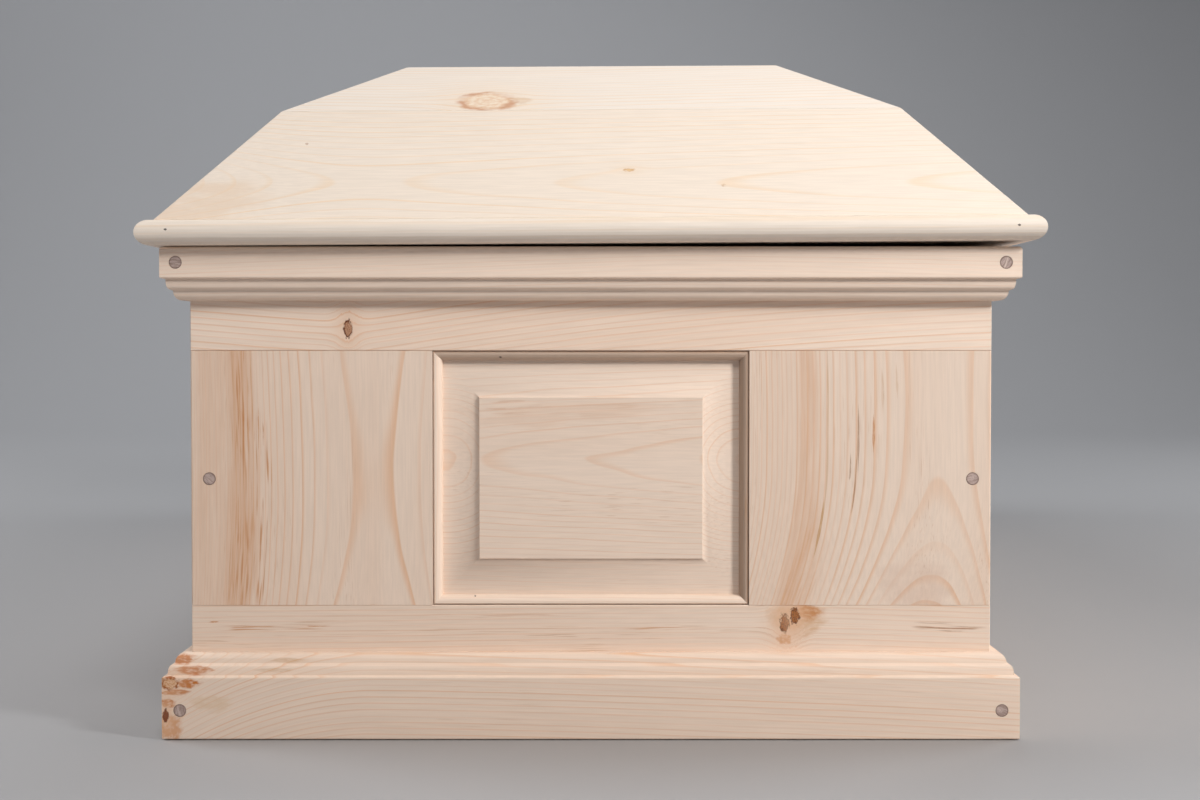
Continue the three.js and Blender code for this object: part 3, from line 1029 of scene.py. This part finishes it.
# Painted shade: the top bead strip's rounded face turns down, away from the lights. Its low light and
# high tan darken and brown its colour to stand for that shade.
FRONT_TOP_BEAD_PAINTED_SHADE = Sawing(
    run=Run.ACROSS,
    out=FRONT,
    heart=spot(40.0, 230.0),
    ring=1.6 * MM,
    contrast=0.7,
    light=0.76,
    tan=0.6,
    seed=34.0,
    marks=BRADS,
)
# Painted shade: the right bead strip's rounded face turns left, away from the key light. Its low light
# and full tan paint that shade as a darker brown.
FRONT_RIGHT_BEAD_PAINTED_SHADE = Sawing(
    run=Run.UPRIGHT,
    out=FRONT,
    heart=spot(60.0, 200.0),
    ring=1.6 * MM,
    contrast=0.9,
    light=0.66,
    tan=1.0,
    seed=35.0,
)
FRONT_LID_EDGE = Sawing(
    run=Run.ACROSS,
    out=FRONT,
    heart=spot(40.0, 300.0, -1050.0),
    depth=70 * MM,
    ring=3.6 * MM,
    lean=(0.01, 0.005),
    contrast=0.5,
    tan=0.3,
    ripple=0.4 * MM,
    uneven=0.3,
    blush=0.12,
    dashes=0.05,
    seed=30.0,
    marks=(
        # Two nail holes in the nose, drawn as near-black dots of painted shade.
        stain(spot(-315.8, 383.7, -1050.0), spot(1.5, 0.95, 3.0), HOLE_PAINTED_SHADE, 1.0),
        stain(spot(318.3, 387.0, -1050.0), spot(1.5, 0.95, 3.0), HOLE_PAINTED_SHADE, 1.0),
    ),
)


FRONT_WALL_SAWINGS = {
    "left_stile": FRONT_LEFT_STILE,
    "right_stile": FRONT_RIGHT_STILE,
    "panel": FRONT_PANEL,
    "top_rail": FRONT_TOP_RAIL,
    "bottom_rail": FRONT_BOTTOM_RAIL,
    "bead_top": FRONT_TOP_BEAD_PAINTED_SHADE,
    "bead_far": FRONT_RIGHT_BEAD_PAINTED_SHADE,
}
LID_SAWINGS = {
    "front_lid_lower_slope": FRONT_LOWER_SLOPE,
    "front_lid_upper_slope": FRONT_UPPER_SLOPE,
    "front_lid_edge": FRONT_LID_EDGE,
}


def plain_sawing(
    centre: Vector, run: Run, out: Vector, seed: float, **settings: object
) -> Sawing:
    """A sawing for a board that the photograph doesn't show.

    Args:
        centre: the board's middle.
        run: its grain.
        out: the direction that its face looks in.
        seed: sets it apart from the others.
        settings: what is known of it.

    Returns:
        The sawing.
    """
    chance = Random(seed)
    across = out.cross(run.axis)
    heart = centre + across * chance.uniform(-0.06, 0.06) + run.axis * chance.uniform(-0.4, 0.4)
    drift = chance.uniform(-0.02, 0.02)
    found = {
        "depth": chance.uniform(45, 100) * MM,
        "ring": chance.uniform(3.6, 5.4) * MM,
        "crowd": chance.uniform(300, 2200),
        "start": chance.random(),
        "dip": chance.uniform(-0.025, 0.025),
        "bow": (chance.uniform(-0.03, 0.0), chance.uniform(-0.03, 0.0)),
        "lean": (drift, drift),
        "wander": 4.0 * MM,
        "dashes": chance.uniform(0.3, 0.8),
    }
    return Sawing(
        run=run, out=tuple(out), heart=tuple(heart), seed=seed * 1.37, **(found | settings)
    )


# Working the meshes


def only(piece: bpy.types.Object) -> None:
    """Selects one object and makes it the active one."""
    bpy.ops.object.select_all(action="DESELECT")
    piece.select_set(True)
    bpy.context.view_layer.objects.active = piece


def board_from(node: str, name: str) -> bpy.types.Object:
    """A board of its own on a CAD node's form, with clean faces.

    Args:
        node: the CAD node.
        name: the new piece's name.

    Returns:
        The piece, at the origin, with its place in its mesh.
    """
    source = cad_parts[node]
    piece = bpy.data.objects.new(name, source.data.copy())
    piece.data.name = name
    piece.data.materials.clear()
    bpy.context.scene.collection.objects.link(piece)
    only(piece)
    bpy.ops.object.mode_set(mode="EDIT")
    bpy.ops.mesh.select_all(action="SELECT")
    bpy.ops.mesh.remove_doubles(threshold=2e-6)
    bpy.ops.mesh.dissolve_limited(angle_limit=math.radians(0.4))
    bpy.ops.mesh.select_all(action="DESELECT")
    bpy.ops.object.mode_set(mode="OBJECT")
    return piece


def ease_edges(
    piece: bpy.types.Object, chosen: Callable[[bmesh.types.BMEdge], bool], radius: float, steps: int
) -> None:
    """Rounds the edges that a rule chooses.

    Args:
        piece: the board.
        chosen: says whether an edge is rounded.
        radius: the round's size in metres.
        steps: how many faces make the round.
    """
    only(piece)
    bpy.ops.object.mode_set(mode="EDIT")
    bpy.ops.mesh.select_mode(type="EDGE")
    bpy.ops.mesh.select_all(action="DESELECT")
    mesh = bmesh.from_edit_mesh(piece.data)
    for edge in mesh.edges:
        edge.select_set(chosen(edge))
    bmesh.update_edit_mesh(piece.data)
    if any(edge.select for edge in mesh.edges):
        bpy.ops.mesh.bevel(offset=radius, segments=steps, profile=0.5, clamp_overlap=True)
    bpy.ops.mesh.select_all(action="DESELECT")
    bpy.ops.object.mode_set(mode="OBJECT")


def sharp(edge: bmesh.types.BMEdge, least: float = 30.0) -> bool:
    """Whether an edge turns by more than a number of degrees."""
    return len(edge.link_faces) == 2 and edge.calc_face_angle(0.0) > math.radians(least)


def shade(piece: bpy.types.Object, angle: float = 19.0) -> None:
    """Smooths the rounds of a board and keeps its flats flat."""
    only(piece)
    bpy.ops.object.shade_smooth_by_angle(angle=math.radians(angle))
    modifier = piece.modifiers.new("Flat faces", "WEIGHTED_NORMAL")
    modifier.keep_sharp = True
    bpy.ops.object.modifier_apply(modifier=modifier.name)


def settle(
    piece: bpy.types.Object, material: bpy.types.Material, slot: str, *nodes: str
) -> bpy.types.Object:
    """Gives a piece its material, and its place in the frame.

    Args:
        piece: the finished mesh.
        material: its finish.
        slot: the name of a material slot; not used.
        nodes: the CAD nodes that it stands for.

    Returns:
        The piece.
    """
    piece.data.materials.append(material)
    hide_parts(*nodes)
    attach(piece, "root")
    log.info("%s: %d faces", piece.name, len(piece.data.polygons))
    return piece


def middle(node: str) -> Vector:
    """The middle of a CAD node's box."""
    low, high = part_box(node)
    return (low + high) / 2


def side_axes(side: str) -> tuple[Run, Vector]:
    """The grain and the outward direction of a board on one side of the case."""
    outward = {"front": (0, -1, 0), "back": (0, 1, 0), "left": (-1, 0, 0), "right": (1, 0, 0)}
    return (Run.ACROSS if side in ("front", "back") else Run.ALONG), Vector(outward[side])


SHOP = WoodShop()


@dataclass
class FramedWall:
    """One wall of the case: two rails, two stiles, a raised panel and its bead."""

    prefix: str
    stiles: tuple[str, str]
    length_run: Run
    corner_round: float = 1.1 * MM
    sawings: dict[str, Sawing] = field(default_factory=dict)
    # The brads' nail holes, drawn on the bead strips as near-black dots of painted shade.
    brads: tuple[Mark, ...] = ()

    def corner(self, edge: bmesh.types.BMEdge) -> bool:
        """Whether an edge is one of the case's four upright outer corners."""
        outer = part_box("front_end_top_rail")
        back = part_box("back_end_top_rail")
        tolerance = 0.05 * MM
        return sharp(edge) and all(
            abs(abs(v.co.x) - outer[1].x) < tolerance
            and (abs(v.co.y - outer[0].y) < tolerance or abs(v.co.y - back[1].y) < tolerance)
            for v in edge.verts
        )

    def default_sawing(self, piece: str, seed: float) -> Sawing:
        """A plausible sawing for a board that the photograph doesn't show."""
        centre = middle(f"{self.prefix}_{piece}")
        run = Run.UPRIGHT if piece in self.stiles else self.length_run
        if self.length_run is Run.ALONG:
            out = Vector((math.copysign(1, centre.x), 0, 0))
        else:
            out = Vector((0, math.copysign(1, centre.y), 0))
        return plain_sawing(centre, run, out, seed)

    def build(self, seed: float) -> None:
        """Builds the wall's boards, panel and bead strips.

        Args:
            seed: sets the wall's grain apart.
        """
        for number, piece in enumerate(("bottom_rail", "top_rail", *self.stiles)):
            node = f"{self.prefix}_{piece}"
            board = board_from(node, f"{node}_board")
            ease_edges(board, self.corner, self.corner_round, 3)
            shade(board)
            sawing = self.sawings.get(piece) or self.default_sawing(piece, seed + number)
            settle(board, SHOP.pine(f"pine {node}", sawing), "pine", node)
        self.build_panel(seed + 5)
        self.build_bead(seed + 6)

    def build_panel(self, seed: float) -> None:
        """Builds the raised panel, its field's edge slightly eased."""
        node = f"{self.prefix}_panel"
        panel = board_from(node, f"{node}_board")
        ease_edges(panel, lambda edge: sharp(edge, 60.0), 0.35 * MM, 2)
        shade(panel)
        sawing = self.sawings.get("panel") or self.default_sawing("panel", seed)
        settle(panel, SHOP.pine(f"pine {node}", sawing), "pine", node)

    def build_bead(self, seed: float) -> None:
        """Builds the four mitred strips round the panel by parting the ring at its corners."""
        node = f"{self.prefix}_panel_bead"
        low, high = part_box(node)
        centre = (low + high) / 2
        wide = Vector((0, 1, 0)) if self.length_run is Run.ALONG else Vector((1, 0, 0))
        up = Vector((0, 0, 1))
        half_width = (high - low).dot(wide) / 2
        half_height = (high.z - low.z) / 2
        strips = {
            "top": (up, wide, half_height, half_width),
            "bottom": (-up, wide, half_height, half_width),
            "near": (-wide, up, half_width, half_height),
            "far": (wide, up, half_width, half_height),
        }
        for number, (side, (out, along, reach, span)) in enumerate(strips.items()):
            strip = board_from(node, f"{node}_{side}_strip")
            only(strip)
            bpy.ops.object.mode_set(mode="EDIT")
            cuts = [(centre, -out)]
            for end in (-1, 1):
                corner = centre + out * reach + along * (end * span)
                cuts.append((corner - along * (end * MITRE_GAP), along * end - out))
            for point, normal in cuts:
                bpy.ops.mesh.select_all(action="SELECT")
                bpy.ops.mesh.bisect(
                    plane_co=point, plane_no=normal.normalized(), use_fill=True, clear_outer=True
                )
            bpy.ops.object.mode_set(mode="OBJECT")
            shade(strip)
            run = Run.UPRIGHT if abs(along.z) > 0.5 else self.length_run
            place = centre + out * reach
            sawing = self.sawings.get(f"bead_{side}") or plain_sawing(
                place, run, out, seed + number, ring=3.0 * MM, contrast=0.4, marks=self.brads
            )
            settle(strip, SHOP.pine(f"pine {strip.name}", sawing), "pine", node)


@dataclass
class Trim:
    """A mitred frame of moulded boards round the case: the cornice or the base."""

    kind: str
    sawings: dict[str, Sawing] = field(default_factory=dict)

    def build(self, seed: float) -> None:
        """Builds the four boards."""
        for number, side in enumerate(("front", "right", "back", "left")):
            node = f"{side}_{self.kind}"
            board = board_from(node, f"{node}_board")
            shade(board)
            run, out = side_axes(side)
            sawing = self.sawings.get(side) or plain_sawing(
                middle(node) - Vector((0, 0, 0.07)), run, out, seed + number, contrast=0.42
            )
            settle(board, SHOP.pine(f"pine {node}", sawing), "pine", node)


@dataclass
class Lid:
    """The loose lid: nosed edge boards, two courses of slopes and a top board."""

    joint_ease: float = 0.5 * MM
    sawings: dict[str, Sawing] = field(default_factory=dict)

    def build(self, seed: float) -> None:
        """Builds every board of the lid."""
        names = ["lid_top_board"]
        for course in ("lid_edge", "lid_lower_slope", "lid_upper_slope"):
            names += [f"{side}_{course}" for side in ("front", "right", "back", "left")]
        for number, node in enumerate(names):
            board = board_from(node, f"{node}_board")
            if not node.endswith("lid_edge"):
                ease_edges(board, sharp, self.joint_ease, 2)
            shade(board)
            sawing = self.sawings.get(node) or self.default_sawing(node, seed + number)
            settle(board, SHOP.pine(f"pine {node}", sawing, PALE_PINE), "pale_pine", node)

    def default_sawing(self, node: str, seed: float) -> Sawing:
        """A plausible sawing for a board that the photograph doesn't show."""
        run, out = (Run.ALONG, Vector((0, 0, 1)))
        if node != "lid_top_board":
            run, out = side_axes(node.split("_")[0])
        rise = {"lower": LOWER_SLOPE_RISE, "upper": UPPER_SLOPE_RISE}.get(node.split("_")[2])
        if rise is not None:
            out = Vector(slope_out(tuple(out), rise))
        return plain_sawing(
            middle(node), run, out, seed, ring=5.2 * MM, contrast=0.4, blush=0.2, dashes=0.12
        )


@dataclass
class Pegs:
    """The walnut pegs at the corners, sanded flush."""

    edge_round: float = 0.25 * MM

    def build(self) -> None:
        """Builds the twelve pegs."""
        number = 0
        for end in ("front", "back"):
            for side in ("left", "right"):
                for level in ("cornice_peg", "corner_peg", "base_peg"):
                    number += 1
                    node = f"{end}_{side}_{level}"
                    peg = board_from(node, f"{node}_dowel")
                    ease_edges(peg, sharp, self.edge_round, 2)
                    shade(peg)
                    low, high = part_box(node)
                    face = (low + high) / 2
                    face.y = low.y if end == "front" else high.y
                    radius = (high.z - low.z) / 2
                    split = node == "front_right_cornice_peg"
                    material = SHOP.walnut(
                        f"walnut {node}", tuple(face), radius, number * 0.7, split
                    )
                    settle(peg, material, "walnut", node)


def dress_floor() -> None:
    """Gives the floor board, whose form stays as it is, its finish."""
    centre = middle("floor_board")
    sawing = plain_sawing(centre, Run.ALONG, Vector((0, 0, 1)), seed=77.0)
    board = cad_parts["floor_board"]
    board.data.materials.clear()
    board.data.materials.append(SHOP.pine("pine floor_board", sawing))


@dataclass(frozen=True)
class Lamp:
    """A soft square light: where it hangs, what it faces, its side in metres and its watts."""

    name: str
    place: Point
    target: Point
    size: float
    power: float
    colour: Colour = (1.0, 1.0, 1.0)


MIDDLE_OF_FRONT = (0.0, -1.0, 0.25)
LAMPS = (
    Lamp("key", (2.0, -2.375, 1.5), MIDDLE_OF_FRONT, 0.44, 60.0, (1.0, 0.995, 0.982)),
    Lamp("upper front", (0.25, -2.7, 2.75), MIDDLE_OF_FRONT, 0.7, 24.5, (1.0, 0.997, 0.985)),
    Lamp("above", (-0.4, -0.5, 3.2), (0.0, -0.5, 0.5), 1.4, 8.0),
    Lamp("backdrop", (-1.6, 3.4, 4.2), (-1.4, 7.0, 1.8), 2.0, 70.0, (0.97, 0.98, 1.0)),
    Lamp("left side", (-3.0, 0.4, 2.2), (-0.3, 0.0, 0.25), 2.4, 60.0),
    Lamp("right side", (3.2, 1.0, 2.0), (0.3, 0.0, 0.25), 2.4, 50.0),
    Lamp("back", (0.8, 5.0, 4.4), (0.0, 1.0, 0.3), 2.0, 50.0),
)
SKY = (0.50, 0.51, 0.53)
SKY_STRENGTH = 0.05
PAPER = (0.44, 0.445, 0.46)
PAPER_ROUGHNESS = 0.9


@dataclass
class Studio:
    """The pale floor, the soft lights and the camera."""

    floor_width: float = 16.0
    floor_length: float = 12.0
    floor_middle: float = 1.0
    wall_height: float = 7.0
    bend: float = 3.0
    image_width: float = 1200.0
    sensor: float = 36.0
    focal_pixels: float = 2008.0
    stand_off: float = 1528 * MM
    camera_side: float = 6.9 * MM
    camera_height: float = 297.9 * MM
    pitch_down: float = 1.57

    def build(self) -> None:
        """Builds the studio round the case."""
        self.build_sweep()
        self.build_lights()
        self.build_camera()

    def build_sweep(self) -> None:
        """A pale floor that curves up into a grey backdrop."""
        bpy.ops.object.select_all(action="DESELECT")
        bpy.ops.mesh.primitive_plane_add(size=1.0, location=(0, self.floor_middle, -0.5 * MM))
        sweep = bpy.context.object
        sweep.name = "studio_sweep"
        sweep.scale = (self.floor_width, self.floor_length, 1.0)
        bpy.ops.object.transform_apply(location=True, rotation=False, scale=True)
        bpy.ops.object.mode_set(mode="EDIT")
        bpy.ops.mesh.select_mode(type="EDGE")
        self.select_rear_foot(sweep)
        rise = (0, 0, self.wall_height)
        bpy.ops.mesh.extrude_region_move(TRANSFORM_OT_translate={"value": rise})
        self.select_rear_foot(sweep)
        bpy.ops.mesh.bevel(offset=self.bend, segments=24, profile=0.5)
        bpy.ops.object.mode_set(mode="OBJECT")
        bpy.ops.object.shade_smooth()
        material = bpy.data.materials.new("studio paper")
        material.use_nodes = True
        shader = material.node_tree.nodes["Principled BSDF"]
        shader.inputs["Base Color"].default_value = opaque(PAPER)
        shader.inputs["Roughness"].default_value = PAPER_ROUGHNESS
        sweep.data.materials.append(material)

    def select_rear_foot(self, sweep: bpy.types.Object) -> None:
        """Selects the sweep's rear edge at the floor."""
        rear = self.floor_middle + self.floor_length / 2
        mesh = bmesh.from_edit_mesh(sweep.data)
        for edge in mesh.edges:
            at_rear = all(abs(v.co.y - rear) < MM for v in edge.verts)
            edge.select_set(at_rear and all(v.co.z < MM for v in edge.verts))
        bmesh.update_edit_mesh(sweep.data)

    def build_lights(self) -> None:
        """The lamps, and a faint sky."""
        world = bpy.data.worlds.new("studio")
        bpy.context.scene.world = world
        world.use_nodes = True
        background = world.node_tree.nodes["Background"]
        background.inputs[0].default_value = opaque(SKY)
        background.inputs[1].default_value = SKY_STRENGTH
        for lamp in LAMPS:
            self.hang(lamp)

    def hang(self, lamp: Lamp) -> None:
        """Adds one soft light."""
        data = bpy.data.lights.new(lamp.name, "AREA")
        data.size = lamp.size
        data.energy = lamp.power
        data.color = lamp.colour
        light = bpy.data.objects.new(lamp.name, data)
        light.location = lamp.place
        view = Vector(lamp.target) - Vector(lamp.place)
        light.rotation_euler = view.to_track_quat("-Z", "Y").to_euler()
        bpy.context.scene.collection.objects.link(light)

    def build_camera(self) -> None:
        """The camera of the photograph: level with the case, square to its front end."""
        data = bpy.data.cameras.new("camera")
        data.sensor_width = self.sensor
        data.lens = self.focal_pixels * self.sensor / self.image_width
        camera = bpy.data.objects.new("camera", data)
        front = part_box("front_end_top_rail")[0].y
        camera.location = (self.camera_side, front - self.stand_off, self.camera_height)
        camera.rotation_euler = (math.radians(90 - self.pitch_down), 0.0, 0.0)
        bpy.context.scene.collection.objects.link(camera)
        bpy.context.scene.camera = camera
        bpy.context.scene.view_settings.view_transform = "Standard"


def main() -> None:
    """Builds the coffin's looks, piece by piece."""
    logging.basicConfig(level=logging.INFO, format="%(message)s")
    SHOP.prepare()
    ends, sides = ("left_stile", "right_stile"), ("front_stile", "back_stile")
    FramedWall("front_end", ends, Run.ACROSS, sawings=FRONT_WALL_SAWINGS, brads=BRADS).build(seed=10.0)
    FramedWall("back_end", ends, Run.ACROSS).build(seed=20.0)
    FramedWall("left_side", sides, Run.ALONG).build(seed=30.0)
    FramedWall("right_side", sides, Run.ALONG).build(seed=40.0)
    Trim("cornice", sawings={"front": FRONT_CORNICE}).build(seed=50.0)
    Trim("base", sawings={"front": FRONT_BASE}).build(seed=60.0)
    Lid(sawings=LID_SAWINGS).build(seed=70.0)
    Pegs().build()
    dress_floor()
    Studio().build()


if __name__ == "__main__":
    main()
